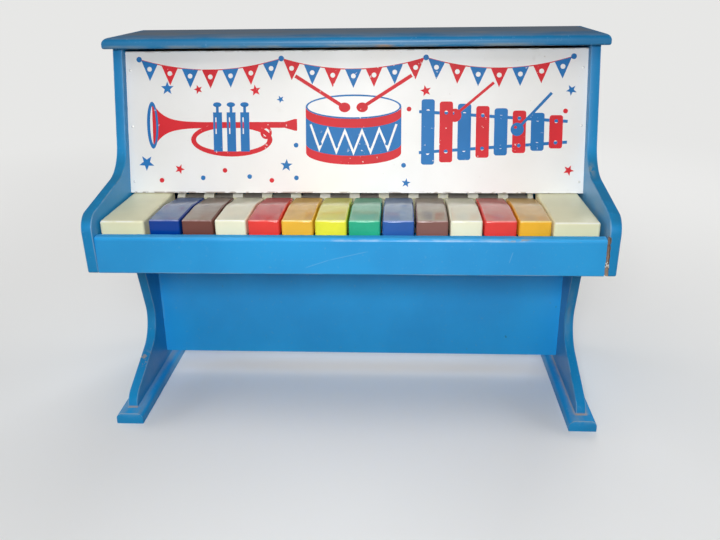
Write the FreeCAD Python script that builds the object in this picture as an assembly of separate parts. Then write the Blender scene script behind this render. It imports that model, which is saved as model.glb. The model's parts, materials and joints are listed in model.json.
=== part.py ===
import FreeCAD, Part
import math
import os

# A small upright toy piano: a painted wooden case, sprung plastic keys on a steel rod,
# and a hammer for each key that strikes a tuned steel bar from below.
# Millimetres and degrees. X runs left to right, Y front to back and Z up.
# The origin lies on the floor, under the middle of the whole piano.

# Case
case_width = 380.0
overall_depth = 193.4
overall_height = 303.0
board = 8.0
edge_bevel = 1.2

# Lid
lid_thick = 8.3
lid_overhang = 5.0
lid_depth = 95.8
lid_top_round = 4.8
lid_under_round = 1.6

# Feet
foot_width = 22.3
foot_height = 9.4
foot_length = 164.0
foot_round = 5.2

# Side boards: a leaning upper edge, an arm with a rounded nose and a waisted leg
upper_depth = 86.7
edge_lean = 13.48
arm_under_share = 0.48053
arm_height = 57.3
arm_slope = 9.77
arm_front_slant = 3.4
arm_corner_round = 1.6
sweep_round = 30.0
nose_round = 13.0
leg_set = 85.0
leg_lean = 17.2
leg_top_round = 35.0
waist_round = 27.0
toe_set = 40.0
toe_rise = 8.9
toe_slope = 22.15
toe_round = 13.0

# Flat boards between the sides
keyslip_height = 27.6
keyslip_set = 2.1
keyslip_round = 3.6
lower_panel_set = 129.3
lower_panel_lift = 17.0
back_thick = 3.0
back_inset = 1.0

# Front panel, parallel to the leaning edges of the sides, and the cleats behind it
panel_thick = 3.0
panel_recess = 6.7
panel_top_gap = 3.2
panel_drop = 0.4
cleat_width = 8.0
cleat_depth = 8.0
cleat_end_gap = 3.0

# Keys
key_count = 12
key_gap = 1.4
key_dip = 4.5
key_set = 12.3
key_reveal = 10.1
cap_height = 12.0
cap_wall = 2.2
cap_bevel = 1.2
cap_slope_share = 0.437
cap_slope_drop = 4.7
cap_tuck = 2.6
tail_width_share = 0.62
tail_height = 7.4
tail_drop = 7.2
tail_end = 4.0
lever_lift = 0.7
lever_fit = 0.4
lever_step = 3.0

# End blocks beside the keys
block_width = 32.7
block_wall = 2.2
block_bevel = 2.0
block_side_gap = 3.4
left_block_shift = 2.1
block_panel_gap = 0.6
block_tuck = 6.5

# Key pivot
rod_radius = 1.5
running_gap = 0.05
pivot_set = 9.2
comb_front_depth = 6.0
comb_back_depth = 12.0
comb_floor_gap = 1.2
comb_post_drop = 0.4
side_play = 0.35

# Key stops and return springs
rest_gap = 0.3
rail_depth = 12.0
front_rail_set = 4.0
felt_thick = 3.0
spring_thick = 0.5
spring_width_share = 0.33
spring_foot_share = 0.222
spring_reach_share = 0.48
spring_tip_share = 0.111
spring_tip_drop = 1.5
spring_gap = 3.0

# Hammers; how far back they reach is a share of the depth behind the key pivot
hammer_set_share = 0.1837
heel_set_share = 0.1224
head_set_share = 0.3673
hammer_rise = 15.2
hammer_ratio = 2.5
heel_crown = 4.0
heel_depth = 5.0
hub_size = 8.0
hub_length_share = 0.58
arm_width = 6.0
arm_thick = 5.0
head_crown = 8.0
head_depth = 8.0
head_width = 9.0
let_off = 0.6
hammer_rail_depth = 10.0
hammer_rail_height = 10.4
hammer_rail_gap = 0.4
hammer_post_drop = 4.0

# Tuned bars: the notes follow a major scale, and a bar's length goes with the root of its pitch
scale_steps = (0, 2, 4, 5, 7, 9, 10, 12, 14, 16, 17, 19)
steps_per_octave = 12
node_point_share = 0.276
bar_width_share = 0.744
bar_thick = 2.0
bar_back_gap = 7.2
bar_lift = 36.2
bar_hole_radius = 1.6
chime_rail_width = 6.0
chime_rail_height = 10.0
chime_felt_thick = 2.0
pin_radius = 1.0
pin_head_radius = 2.2
pin_head_thick = 0.8
pin_head_gap = 0.5
pin_depth = 7.0

# How far cutting shapes run past what they cut
overrun = 1.0

# Planes that the pieces share
front_y = -overall_depth / 2
back_y = overall_depth / 2
side_x = case_width / 2
inner_x = side_x - board
side_top = overall_height - lid_thick
side_back_y = back_y - back_thick
arm_under = overall_height * arm_under_share
keybed_top = arm_under + board
key_top = arm_under + keyslip_height + key_reveal
key_front_y = front_y + key_set
keyboard_half = inner_x - block_side_gap - block_width - key_gap / 2
key_pitch = 2 * keyboard_half / key_count
cap_width = key_pitch - key_gap
cap_bottom = key_top - cap_height
tail_width = key_pitch * tail_width_share
spring_width = key_pitch * spring_width_share
hub_length = key_pitch * hub_length_share
bar_width = key_pitch * bar_width_share

lean = math.radians(edge_lean)
upper_front_y = back_y - upper_depth
panel_bottom = key_top - panel_drop
panel_top = side_top - panel_top_gap


def edge_y(z):
    """Front of the leaning upper edge of the sides at height z."""
    return upper_front_y - (side_top - z) * math.tan(lean)


def panel_y(z):
    """Front face of the front panel at height z."""
    return edge_y(z) + panel_recess / math.cos(lean)


cap_back_y = panel_y(panel_bottom) + cap_tuck
cap_back_top = key_top - cap_slope_drop
cap_slope_length = (cap_back_y - key_front_y) * cap_slope_share
tail_top = key_top - tail_drop
tail_bottom = tail_top - tail_height
pivot_y = panel_y(panel_bottom) + pivot_set
pivot_z = tail_top - tail_height / 2
action_depth = side_back_y - pivot_y
hammer_y = pivot_y + action_depth * hammer_set_share
hammer_z = pivot_z + hammer_rise
heel_y = hammer_y + action_depth * heel_set_share
head_set = action_depth * head_set_share
tail_back_y = heel_y + tail_end
dip = math.radians(key_dip)
throw = math.radians(key_dip * hammer_ratio)
bar_under = pivot_z + bar_lift + chime_felt_thick
head_rise = (bar_under - let_off - head_crown - hammer_z - head_set * math.sin(throw)) / math.cos(throw)
strike_y = hammer_y + head_set * math.cos(throw) - head_rise * math.sin(throw)
bar_longest = 2 * (side_back_y - bar_back_gap - strike_y)


def box(x0, x1, y0, y1, z0, z1):
    return Part.makeBox(x1 - x0, y1 - y0, z1 - z0, FreeCAD.Vector(x0, y0, z0))


def bar_along_x(radius, x0, x1, y, z):
    return Part.makeCylinder(radius, x1 - x0, FreeCAD.Vector(x0, y, z), FreeCAD.Vector(1, 0, 0))


def meet(p, p_angle, q, q_angle):
    """Where the line through p at p_angle crosses the line through q at q_angle, in (Y, Z)."""
    py, pz = math.cos(math.radians(p_angle)), math.sin(math.radians(p_angle))
    qy, qz = math.cos(math.radians(q_angle)), math.sin(math.radians(q_angle))
    along = ((q[0] - p[0]) * qz - (q[1] - p[1]) * qy) / (py * qz - pz * qy)
    return (p[0] + along * py, p[1] + along * pz)


def prism(corners, x0, x1):
    """A solid between x0 and x1 whose side outline has corners (y, z, radius)."""
    points = [FreeCAD.Vector(x0, y, z) for y, z, radius in corners]
    edges = []
    starts = []
    ends = []
    for i, corner in enumerate(points):
        radius = corners[i][2]
        to_last = (points[i - 1] - corner).normalize()
        to_next = (points[(i + 1) % len(points)] - corner).normalize()
        half = to_last.getAngle(to_next) / 2
        reach = radius / math.tan(half)
        starts.append(corner + to_last * reach)
        ends.append(corner + to_next * reach)
        if radius > 0:
            middle = (to_last + to_next).normalize() * (radius / math.sin(half) - radius)
            edges.append(Part.Arc(starts[i], corner + middle, ends[i]).toShape())
    for i in range(len(points)):
        edges.append(Part.LineSegment(ends[i - 1], starts[i]).toShape())
    wire = Part.Wire(Part.__sortEdges__(edges))
    return Part.Face(wire).extrude(FreeCAD.Vector(x1 - x0, 0, 0))


def rounded(shape, radius, chosen):
    """The shape with a fillet on each edge that the test accepts."""
    return shape.makeFillet(radius, [edge for edge in shape.Edges if chosen(edge)])


def bevelled(shape, size, chosen):
    """The shape with a chamfer on each edge that the test accepts."""
    return shape.makeChamfer(size, [edge for edge in shape.Edges if chosen(edge)])


def six_sided(radius, height, base):
    """An upright prism with six sides, for small nails and their holes."""
    turns = [math.radians(60 * side) for side in range(7)]
    ring = [base + FreeCAD.Vector(radius * math.cos(turn), radius * math.sin(turn), 0) for turn in turns]
    return Part.Face(Part.makePolygon(ring)).extrude(FreeCAD.Vector(0, 0, height))


def crowned_block(x, width, y, depth, base_z, tip_z, crown):
    """An upright block whose end at tip_z is a crown of this radius."""
    half = depth / 2
    sink = crown - math.sqrt(crown ** 2 - half ** 2)
    edge_z = tip_z - math.copysign(sink, tip_z - base_z)
    base_front = FreeCAD.Vector(x - width / 2, y - half, base_z)
    base_back = FreeCAD.Vector(x - width / 2, y + half, base_z)
    edge_front = FreeCAD.Vector(x - width / 2, y - half, edge_z)
    edge_back = FreeCAD.Vector(x - width / 2, y + half, edge_z)
    tip = FreeCAD.Vector(x - width / 2, y, tip_z)
    outline = Part.Wire([
        Part.LineSegment(base_back, base_front).toShape(),
        Part.LineSegment(base_front, edge_front).toShape(),
        Part.Arc(edge_front, tip, edge_back).toShape(),
        Part.LineSegment(edge_back, base_back).toShape(),
    ])
    return Part.Face(outline).extrude(FreeCAD.Vector(width, 0, 0))


def flat_at(edge, axis, value):
    """True for an edge that lies in the plane where the axis has this value."""
    return all(abs(vertex.Point[axis] - value) < Part.Precision.approximation() for vertex in edge.Vertexes)


def mirrored(shape):
    return shape.mirror(FreeCAD.Vector(0, 0, 0), FreeCAD.Vector(1, 0, 0))


def save(name, shape):
    shape.exportStep("parts/" + name + ".step")


def key_x(index):
    return (index - (key_count - 1) / 2) * key_pitch


# Wooden case


def side_outline():
    front_angle = 90 + arm_front_slant
    leg_angle = 90 + leg_lean
    sweep_z = arm_under + arm_height
    sweep = (edge_y(sweep_z), sweep_z)
    slant = math.radians(arm_front_slant)
    slope = math.radians(arm_slope)
    nose_center_y = front_y + nose_round
    arm_z = sweep_z - (sweep[0] - nose_center_y) * math.tan(slope)
    nose_center_z = arm_z - nose_round / math.cos(slope)
    arm_front = (nose_center_y - nose_round * math.cos(slant), nose_center_z - nose_round * math.sin(slant))
    nose = meet(sweep, arm_slope, arm_front, front_angle)
    arm_end = meet(arm_front, front_angle, (front_y, arm_under), 0)
    leg_top = (front_y + leg_set, arm_under)
    toe = (front_y + toe_set, foot_height + toe_rise)
    waist = meet(leg_top, leg_angle, toe, toe_slope)
    return [
        (upper_front_y, side_top, 0),
        (sweep[0], sweep[1], sweep_round),
        (nose[0], nose[1], nose_round),
        (arm_end[0], arm_end[1], arm_corner_round),
        (leg_top[0], leg_top[1], leg_top_round),
        (waist[0], waist[1], waist_round),
        (toe[0], toe[1], toe_round),
        (toe[0], foot_height, 0),
        (side_back_y, foot_height, 0),
        (side_back_y, side_top, 0),
    ]


def side_board():
    """The right-hand side; its front outline is bevelled on both faces."""
    plain = prism(side_outline(), inner_x, side_x)

    def front_edge(edge):
        if flat_at(edge, 2, side_top) or flat_at(edge, 2, foot_height) or flat_at(edge, 1, side_back_y):
            return False
        return flat_at(edge, 0, inner_x) or flat_at(edge, 0, side_x)

    return bevelled(plain, edge_bevel, front_edge)


def lid():
    half = side_x + lid_overhang
    slab = box(-half, half, back_y - lid_depth, back_y, side_top, overall_height)
    slab = rounded(slab, lid_top_round, lambda edge: flat_at(edge, 2, overall_height))
    return rounded(slab, lid_under_round, lambda edge: flat_at(edge, 2, side_top))


def foot():
    middle = side_x - board / 2
    x0, x1 = middle - foot_width / 2, middle + foot_width / 2
    rail = box(x0, x1, back_y - foot_length, back_y, 0, foot_height)
    return rounded(rail, foot_round, lambda edge: flat_at(edge, 2, foot_height) and edge.Length > foot_width)


def keyslip():
    y0 = front_y + keyslip_set
    top = arm_under + keyslip_height
    outline = [
        (y0, arm_under, edge_bevel),
        (y0, top, keyslip_round),
        (y0 + board, top, edge_bevel),
        (y0 + board, arm_under, 0),
    ]
    return prism(outline, -inner_x, inner_x)


def keybed():
    return box(-inner_x, inner_x, front_y + keyslip_set + board, side_back_y, arm_under, keybed_top)


def lower_panel():
    y0 = front_y + lower_panel_set
    return box(-inner_x, inner_x, y0, y0 + board, lower_panel_lift, arm_under)


def back_panel():
    half = side_x - back_inset
    return box(-half, half, side_back_y, back_y, arm_under, side_top)


def front_panel():
    through = panel_thick / math.cos(lean)
    outline = [
        (panel_y(panel_bottom), panel_bottom, 0),
        (panel_y(panel_bottom) + through, panel_bottom, 0),
        (panel_y(panel_top) + through, panel_top, 0),
        (panel_y(panel_top), panel_top, 0),
    ]
    return prism(outline, -inner_x, inner_x)


def panel_cleats():
    """A strip on each side board for the front panel to be nailed to."""
    near = panel_thick / math.cos(lean)
    far = near + cleat_depth
    z0, z1 = panel_bottom + cleat_end_gap, panel_top - cleat_end_gap
    outline = [
        (panel_y(z0) + near, z0, 0),
        (panel_y(z0) + far, z0, 0),
        (panel_y(z1) + far, z1, 0),
        (panel_y(z1) + near, z1, 0),
    ]
    strip = prism(outline, inner_x - cleat_width, inner_x)
    return Part.makeCompound([strip, mirrored(strip)])


# Keyboard


def end_block():
    """A fixed hollow moulding that fills the space between the last key and the side."""
    x0, x1 = inner_x - block_side_gap - block_width, inner_x - block_side_gap
    y1 = panel_y(panel_bottom) + block_tuck
    top = panel_bottom - block_panel_gap
    shell = box(x0, x1, key_front_y, y1, keybed_top, top)
    shell = bevelled(shell, block_bevel, lambda edge: not flat_at(edge, 2, keybed_top))
    hollow = box(
        x0 + block_wall,
        x1 - block_wall,
        key_front_y + block_wall,
        y1 - block_wall,
        keybed_top,
        top - block_wall,
    )
    return shell.cut(hollow)


def cap_outline(inset):
    """Side outline of a key cap, drawn in by the inset everywhere but at its open underside."""
    ridge_y = cap_back_y - cap_slope_length
    return [
        (key_front_y + inset, cap_bottom, 0),
        (key_front_y + inset, key_top - inset, 0),
        (ridge_y, key_top - inset, 0),
        (cap_back_y - inset, cap_back_top - inset, 0),
        (cap_back_y - inset, cap_bottom, 0),
    ]


def key_cap(x):
    """A moulded cap, open below, with a notch in its back wall for the lever."""
    half = cap_width / 2
    solid = prism(cap_outline(0), x - half, x + half)

    def outer_edge(edge):
        at_ridge = flat_at(edge, 1, cap_back_y - cap_slope_length)
        return not at_ridge and not flat_at(edge, 2, cap_bottom)

    solid = bevelled(solid, cap_bevel, outer_edge)
    hollow = prism(cap_outline(cap_wall), x - half + cap_wall, x + half - cap_wall)
    notch_half = tail_width / 2 + lever_fit
    notch = box(
        x - notch_half,
        x + notch_half,
        cap_back_y - cap_wall - overrun,
        cap_back_y + overrun,
        cap_bottom - overrun,
        tail_top + lever_fit,
    )
    return solid.cut(hollow).cut(notch)


def key_lever(x):
    """The lever under a cap; its tail runs back past the rod to the hammer."""
    front = key_front_y + cap_wall + lever_fit
    seat = key_top - cap_wall
    step_y = cap_back_y - cap_slope_length - lever_step
    slope_y = step_y + (seat - tail_top)
    belly_y = cap_back_y
    floor = cap_bottom + lever_lift
    outline = [
        (front, floor, 0),
        (front, seat, 0),
        (step_y, seat, 0),
        (slope_y, tail_top, 0),
        (tail_back_y, tail_top, 0),
        (tail_back_y, tail_bottom, 0),
        (belly_y + (floor - tail_bottom), tail_bottom, 0),
        (belly_y, floor, 0),
    ]
    half = tail_width / 2
    bore = bar_along_x(rod_radius + running_gap, x - half - overrun, x + half + overrun, pivot_y, pivot_z)
    return prism(outline, x - half, x + half).cut(bore)


def slots_between(first, last, width):
    """Spans of the posts that stand between pieces of this width, one on each key."""
    gap = width / 2 + side_play
    spans = []
    left = first
    for index in range(key_count):
        spans.append((left, key_x(index) - gap))
        left = key_x(index) + gap
    spans.append((left, last))
    return spans


def key_comb():
    """Posts between the tails hold the rod and keep each key in line."""
    y0, y1 = pivot_y - comb_front_depth, pivot_y + comb_back_depth
    left = -keyboard_half - left_block_shift
    floor = tail_bottom - comb_floor_gap
    post_top = tail_top - comb_post_drop
    comb = box(left, keyboard_half, y0, y1, keybed_top, floor)
    posts = [
        box(x0, x1, y0, y1, floor, post_top)
        for x0, x1 in slots_between(left, keyboard_half, tail_width)
    ]
    groove = box(
        left,
        keyboard_half,
        pivot_y - rod_radius - running_gap,
        pivot_y + rod_radius + running_gap,
        pivot_z - rod_radius - running_gap,
        post_top,
    )
    return comb.fuse(posts).removeSplitter().cut(groove)


def front_felt_top():
    """The cap lands on the front felt at the end of the dip."""
    reach = pivot_y - (key_front_y + front_rail_set)
    return cap_bottom - reach * math.sin(dip) - rest_gap


def back_felt_top():
    return tail_bottom - rest_gap


def key_rail(y0, felt_top):
    return box(-keyboard_half, keyboard_half, y0, y0 + rail_depth, keybed_top, felt_top - felt_thick)


def key_felt(y0, felt_top):
    return box(-keyboard_half, keyboard_half, y0, y0 + rail_depth, felt_top - felt_thick, felt_top)


def key_springs():
    """One strip of spring steel with a finger that lifts each lever."""
    half = spring_thick / 2
    flat = keybed_top + half
    lift = cap_bottom + lever_lift - rest_gap - half
    y0 = pivot_y - comb_front_depth - spring_gap
    room = y0 - (key_front_y + front_rail_set + rail_depth)
    bend_y = y0 - room * spring_foot_share
    touch_y = bend_y - room * spring_reach_share
    tip_y = touch_y - room * spring_tip_share
    path = [(y0, flat), (bend_y, flat), (touch_y, lift), (tip_y, lift - spring_tip_drop)]
    over = [(y, z + half) for y, z in path]
    under = [(y, z - half) for y, z in reversed(path)]
    outline = [(y, z, 0) for y, z in over + under]
    fingers = [
        prism(outline, key_x(index) - spring_width / 2, key_x(index) + spring_width / 2)
        for index in range(key_count)
    ]
    end = keyboard_half - key_pitch / 2 + spring_width / 2
    strip = box(-end, end, bend_y, y0, keybed_top, keybed_top + spring_thick)
    return strip.fuse(fingers).removeSplitter()


# Hammers and tuned bars


def hammer(x):
    """A hub on the hammer rod, an arm with a heel that rides on the key's tail, and an upright head."""
    hub_half = hub_size / 2
    hub = box(
        x - hub_length / 2,
        x + hub_length / 2,
        hammer_y - hub_half,
        hammer_y + hub_half,
        hammer_z - hub_half,
        hammer_z + hub_half,
    )
    half = arm_thick / 2
    arm = box(
        x - arm_width / 2,
        x + arm_width / 2,
        hammer_y,
        hammer_y + head_set,
        hammer_z - half,
        hammer_z + half,
    )
    heel = crowned_block(x, arm_width, heel_y, heel_depth, hammer_z, tail_top + rest_gap, heel_crown)
    head_y = hammer_y + head_set
    head_tip = hammer_z + head_rise + head_crown
    head = crowned_block(x, head_width, head_y, head_depth, hammer_z - half, head_tip, head_crown)
    bore = bar_along_x(rod_radius + running_gap, x - hub_length, x + hub_length, hammer_y, hammer_z)
    return hub.fuse([arm, heel, head]).removeSplitter().cut(bore)


def hammer_rail():
    """A rail between the sides with posts that hang down to carry the hammer rod, clear of the turning hubs."""
    under = hammer_z + hub_size / math.sqrt(2) + hammer_rail_gap
    y0, y1 = hammer_y - hammer_rail_depth / 2, hammer_y + hammer_rail_depth / 2
    rail = box(-inner_x, inner_x, y0, y1, under, under + hammer_rail_height)
    posts = [
        box(x0, x1, y0, y1, hammer_z - hammer_post_drop, under)
        for x0, x1 in slots_between(-keyboard_half, keyboard_half, hub_length)
    ]
    groove = box(
        -keyboard_half,
        keyboard_half,
        y0,
        hammer_y + rod_radius + running_gap,
        hammer_z - rod_radius - running_gap,
        hammer_z + rod_radius + running_gap,
    )
    return rail.fuse(posts).removeSplitter().cut(groove)


def rod(y, z):
    return bar_along_x(rod_radius, -keyboard_half, keyboard_half, y, z)


def bar_length(index):
    return bar_longest * 2 ** (-scale_steps[index] / (2 * steps_per_octave))


def support_y(x, side):
    """Where a chime rail runs at x: near the still points of the longest and the shortest bar."""
    first = node_point_share * bar_length(0)
    last = node_point_share * bar_length(key_count - 1)
    along = (x - key_x(0)) / (key_x(key_count - 1) - key_x(0))
    return strike_y + side * (first + along * (last - first))


def chime_strip(side, z0, z1):
    """A strip across the case under one end of the bars; the two strips draw together to the right."""
    half = chime_rail_width / 2
    corners = []
    for x, edge in ((-inner_x, -half), (inner_x, -half), (inner_x, half), (-inner_x, half)):
        corners.append(FreeCAD.Vector(x, support_y(x, side) + edge, z0))
    face = Part.Face(Part.makePolygon(corners + corners[:1]))
    return face.extrude(FreeCAD.Vector(0, 0, z1 - z0))


def chime_strips(z0, z1):
    return Part.makeCompound([chime_strip(side, z0, z1) for side in (-1, 1)])


def chime_bar(index):
    x = key_x(index)
    half = bar_length(index) / 2
    bar = box(
        x - bar_width / 2,
        x + bar_width / 2,
        strike_y - half,
        strike_y + half,
        bar_under,
        bar_under + bar_thick,
    )
    for side in (-1, 1):
        start = FreeCAD.Vector(x, support_y(x, side), bar_under - overrun)
        bar = bar.cut(six_sided(bar_hole_radius, bar_thick + 2 * overrun, start))
    return bar


def chime_pin(index, side):
    """A nail through the bar's hole, with its head a little above the bar so that the bar can ring."""
    x = key_x(index)
    head_under = bar_under + bar_thick + pin_head_gap
    foot_z = bar_under - chime_felt_thick - pin_depth
    shank = six_sided(pin_radius, head_under - foot_z, FreeCAD.Vector(x, support_y(x, side), foot_z))
    head = six_sided(pin_head_radius, pin_head_thick, FreeCAD.Vector(x, support_y(x, side), head_under))
    return shank.fuse(head).removeSplitter()


os.makedirs("parts", exist_ok=True)

right_side = side_board()
save("right_side_board", right_side)
save("left_side_board", mirrored(right_side))
save("lid", lid())
right_foot = foot()
save("right_foot", right_foot)
save("left_foot", mirrored(right_foot))
save("keyslip", keyslip())
save("keybed", keybed())
save("lower_panel", lower_panel())
save("back_panel", back_panel())
save("front_panel", front_panel())
save("panel_cleats", panel_cleats())

right_block = end_block()
save("right_end_block", right_block)
left_block = mirrored(right_block)
left_block.translate(FreeCAD.Vector(-left_block_shift, 0, 0))
save("left_end_block", left_block)
save("key_comb", key_comb())
save("key_rod", rod(pivot_y, pivot_z))
front_rail_y = key_front_y + front_rail_set
back_rail_y = heel_y - rail_depth / 2
save("front_rail", key_rail(front_rail_y, front_felt_top()))
save("back_rail", key_rail(back_rail_y, back_felt_top()))
save("key_springs", key_springs())

chime_felt_under = bar_under - chime_felt_thick
felts = [
    key_felt(front_rail_y, front_felt_top()),
    key_felt(back_rail_y, back_felt_top()),
    chime_strip(-1, chime_felt_under, bar_under),
    chime_strip(1, chime_felt_under, bar_under),
]
save("felt_strips", Part.makeCompound(felts))
save("hammer_rail", hammer_rail())
save("hammer_rod", rod(hammer_y, hammer_z))
save("chime_rails", chime_strips(chime_felt_under - chime_rail_height, chime_felt_under))
save("chime_bars", Part.makeCompound([chime_bar(index) for index in range(key_count)]))
pins = [chime_pin(index, side) for index in range(key_count) for side in (-1, 1)]
save("chime_pins", Part.makeCompound(pins))

for index in range(key_count):
    number = "%02d" % (index + 1)
    save("key_cap_" + number, key_cap(key_x(index)))
    save("key_lever_" + number, key_lever(key_x(index)))
    save("hammer_" + number, hammer(key_x(index)))

print("key pivot", round(pivot_y, 3), round(pivot_z, 3), "hammer pivot", round(hammer_y, 3), round(hammer_z, 3))
print("longest bar", round(bar_longest, 1), "shortest", round(bar_length(key_count - 1), 1))
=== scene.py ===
import json
from math import atan2, ceil, cos, exp, pi, radians, remainder, sin, sqrt, tan, tau

import bmesh
import bpy
from mathutils import Euler, Matrix, Vector, noise
from mathutils.geometry import tessellate_polygon


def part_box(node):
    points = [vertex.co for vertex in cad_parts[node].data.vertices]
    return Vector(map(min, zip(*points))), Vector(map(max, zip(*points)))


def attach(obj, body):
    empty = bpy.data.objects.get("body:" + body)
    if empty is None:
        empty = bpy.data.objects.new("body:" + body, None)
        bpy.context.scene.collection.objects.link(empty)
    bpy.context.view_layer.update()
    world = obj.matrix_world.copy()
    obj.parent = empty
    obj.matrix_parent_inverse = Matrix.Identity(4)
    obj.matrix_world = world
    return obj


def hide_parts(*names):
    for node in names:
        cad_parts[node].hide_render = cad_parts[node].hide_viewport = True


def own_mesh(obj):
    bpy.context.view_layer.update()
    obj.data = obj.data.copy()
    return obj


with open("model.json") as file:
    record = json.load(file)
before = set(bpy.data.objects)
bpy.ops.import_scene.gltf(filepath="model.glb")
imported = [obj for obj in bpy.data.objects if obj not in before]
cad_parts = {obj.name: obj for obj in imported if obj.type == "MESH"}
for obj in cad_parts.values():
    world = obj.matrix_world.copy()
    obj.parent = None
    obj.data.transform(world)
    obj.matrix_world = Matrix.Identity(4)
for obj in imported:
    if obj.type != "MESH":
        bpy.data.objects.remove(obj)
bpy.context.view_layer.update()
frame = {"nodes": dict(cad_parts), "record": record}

# A small upright toy piano with a worn blue case, a white front panel with a two-colour print,
# and twelve coloured keys. Blender works in metres. Sizes and places here are in millimetres, and
# angles in degrees, unless they say otherwise.
MM = 0.001
X, Y, Z = range(3)

# Places closer than the first are one place, and a cutter reaches past what it cuts by the second
SAME_PLACE = 0.001
OVERCUT = 1.0

# Case
BOARD = 8.0
SIDE_X = 190.0
INNER_X = 182.0
FRONT_Y = -96.7
BACK_Y = 96.7
SIDE_BACK_Y = 93.7
SIDE_TOP = 294.7
FOOT_HEIGHT = 9.4
FOOT_ROUND = 5.2
FOOT_END_ROUND = 0.5
ARM_UNDER = 145.6
ARM_HEIGHT = 57.3
ARM_SLOPE = 9.77
ARM_FRONT_SLANT = 3.4
UPPER_DEPTH = 86.7
EDGE_LEAN = 13.48
LEG_SET = 85.0
LEG_LEAN = 17.2
TOE_SET = 40.0
TOE_RISE = 8.9
TOE_SLOPE = 22.15
ARM_CORNER_ROUND = 1.6
SWEEP_ROUND = 30.0
NOSE_ROUND = 13.0
LEG_TOP_ROUND = 35.0
WAIST_ROUND = 27.0
TOE_ROUND = 13.0
BOARD_EDGE_ROUND = 1.1

# Keys
KEY_COUNT = 12
KEY_PITCH = 24.2
NOTE_COLORS = ["blue", "brown", "cream", "red", "orange", "yellow", "green"]
CAP_WIDTH = 22.8
CAP_FRONT_Y = -84.4
CAP_BACK_Y = -7.31
CAP_BOTTOM = 171.3
CAP_TOP = 183.3
CAP_SLOPE_LENGTH = 38.0
CAP_SLOPE_DROP = 5.0
CAP_RIDGE_ROUND = 70.0
CAP_WALL = 2.2
CAP_EDGE_ROUND = 1.7
CAP_BACK_CORNER_ROUND = 2.4
NOTCH_WIDTH = 15.8
NOTCH_TOP = 176.5
BLOCK_EDGE_ROUND = 2.0
TAIL_SLOT_HALF = 7.9
POST_RAMP_Y = (1.2, 5.0, 6.5)
POST_RAMP_RISE = 3.8

# Each key's number, place along X and colour
KEYS = [
    ("%02d" % (i + 1), (i - (KEY_COUNT - 1) / 2) * KEY_PITCH, NOTE_COLORS[i % len(NOTE_COLORS)])
    for i in range(KEY_COUNT)
]

# Keyslip, and the corner torn off beside its right end
KEYSLIP_SET = 2.1
KEYSLIP_TOP = 173.2
KEYSLIP_ROUND = 2.6
KEYSLIP_EDGE_ROUND = 0.9
KEYSLIP_END_ROUND = 0.3
KEYSLIP_END_GAP = 0.5
KEYSLIP_END_STEP = 1.6
KEYSLIP_END_RAGGED = 0.3
TEAR_TOP = 175.5
TEAR_WIDTHS = (2.5, 1.3)
TEAR_DEPTH = 2.2
TEAR_RAGGED = 0.45
TEAR_STEPS = 40

# Return springs
KEYBED_TOP = 153.6
SPRING_THICK = 0.5
SPRING_WIDTH = 8.0
SPRING_BACK_Y = -9.71
SPRING_BEND_Y = -22.73
SPRING_TOUCH_Y = -50.89
SPRING_TIP_Y = -57.4
SPRING_LIFT = 171.45
SPRING_TIP_DROP = 1.5
SPRING_TOUCH_ROUND = 4.0

# Front panel
INK_THICK = 0.03
PANEL_BOTTOM = 182.9
PANEL_TOP = 291.5
PANEL_BOTTOM_Y = -9.91
LEAN = radians(EDGE_LEAN)


# Mesh helpers


def rounded_outline(corners, step=5):
    """Points round an outline whose corners are (a, b, radius), with about one point a step on the arcs."""
    points = []
    for i, (a, b, radius) in enumerate(corners):
        corner = Vector((a, b))
        if radius == 0:
            points.append(corner)
            continue
        last = (Vector(corners[i - 1][:2]) - corner).normalized()
        following = (Vector(corners[(i + 1) % len(corners)][:2]) - corner).normalized()
        half = last.angle(following) / 2
        center = corner + (last + following).normalized() * (radius / sin(half))
        reach = radius / tan(half)
        first = corner + last * reach - center
        final = corner + following * reach - center
        start = atan2(first.y, first.x)
        sweep = remainder(atan2(final.y, final.x) - start, tau)
        steps = max(2, round(abs(sweep) / radians(step)))
        for k in range(steps + 1):
            angle = start + sweep * k / steps
            points.append(center + Vector((cos(angle), sin(angle))) * radius)
    return points


def close_rings(bm, rings):
    """Closes rings of vertices, each above the last, into a solid."""
    for lower, upper in zip(rings, rings[1:]):
        for k in range(len(lower)):
            j = (k + 1) % len(lower)
            bm.faces.new((lower[k], lower[j], upper[j], upper[k]))
    bm.faces.new(rings[0][::-1])
    bm.faces.new(rings[-1])
    bmesh.ops.recalc_face_normals(bm, faces=bm.faces)


def prism(outline, x0, x1, bm=None):
    """A solid from a (y, z) outline between x0 and x1, in a bmesh of its own or added to one."""
    if bm is None:
        bm = bmesh.new()
    close_rings(bm, [[bm.verts.new((x * MM, p[0] * MM, p[1] * MM)) for p in outline] for x in (x0, x1)])
    return bm


def box(lo, hi):
    """A bmesh box between two corners."""
    bm = bmesh.new()
    bmesh.ops.create_cube(bm, size=1)
    for v in bm.verts:
        for axis in (X, Y, Z):
            v.co[axis] = (lo if v.co[axis] < 0 else hi)[axis] * MM
    return bm


def node_box(node):
    """A CAD node's lowest and highest corners."""
    return [Vector(corner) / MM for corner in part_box(node)]


def lies_at(edge, axis, value):
    return all(abs(v.co[axis] - value * MM) < SAME_PLACE * MM for v in edge.verts)


def sharp_edges(bm, least=40):
    return [e for e in bm.edges if e.is_manifold and e.calc_face_angle() > radians(least)]


def round_edges(bm, edges, radius, segments=4):
    bmesh.ops.bevel(
        bm, geom=edges, offset=radius * MM, offset_type="OFFSET", segments=segments,
        profile=0.5, affect="EDGES", clamp_overlap=False,
    )


def as_mesh(name, bm):
    mesh = bpy.data.meshes.new(name)
    bm.to_mesh(mesh)
    bm.free()
    return mesh


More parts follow.
